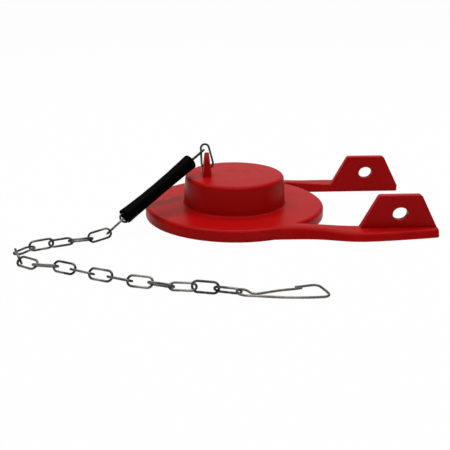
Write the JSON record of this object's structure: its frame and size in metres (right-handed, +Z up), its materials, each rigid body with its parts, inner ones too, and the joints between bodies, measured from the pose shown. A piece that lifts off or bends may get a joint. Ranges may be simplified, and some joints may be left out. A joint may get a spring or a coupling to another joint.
{
  "type": "toilet flapper",
  "caption": "Red rubber valve flapper with a round sealing disc, raised air cup and two eared arms, a chain through a black sleeve, and a wire snap clip.",
  "frame": {"origin": "middle of the whole part's footprint, on the surface it lies on", "axes": "+Z up through the sealing disc, +X from the disc along the two arms to the ears, and +Y away from the side the chain lies on"},
  "size_m": [0.2072, 0.1682, 0.0389],
  "materials": {
    "rubber": "satin, smooth moulded red rubber",
    "vinyl": "soft black tube, low sheen",
    "steel": "dull drawn wire"
  },
  "bodies": {
    "flapper_and_chain": {"flapper": "rubber", "post_link": "steel", "sleeve_link_1": "steel", "sleeve_link_2": "steel", "sleeve_link_3": "steel", "sleeve_link_4": "steel", "sleeve_link_5": "steel", "sleeve_link_6": "steel", "chain_sleeve": "vinyl", "chain_link_01": "steel", "chain_link_02": "steel", "chain_link_03": "steel", "chain_link_04": "steel", "chain_link_05": "steel", "chain_link_06": "steel", "chain_link_07": "steel", "chain_link_08": "steel", "chain_link_09": "steel", "chain_link_10": "steel", "chain_link_11": "steel", "chain_link_12": "steel", "chain_link_13": "steel", "chain_link_14": "steel", "chain_link_15": "steel", "chain_link_16": "steel", "chain_link_17": "steel", "chain_link_18": "steel"},
    "clip": {"snap_clip": "steel"}
  },
  "joints": [
    {"name": "clip_swing", "type": "hinge", "parent": "flapper_and_chain", "child": "clip", "pos_m": [-0.00119, -0.07832, 0.0024], "axis": [0, 0, 1], "range_deg": [-105, 105]}
  ]
}
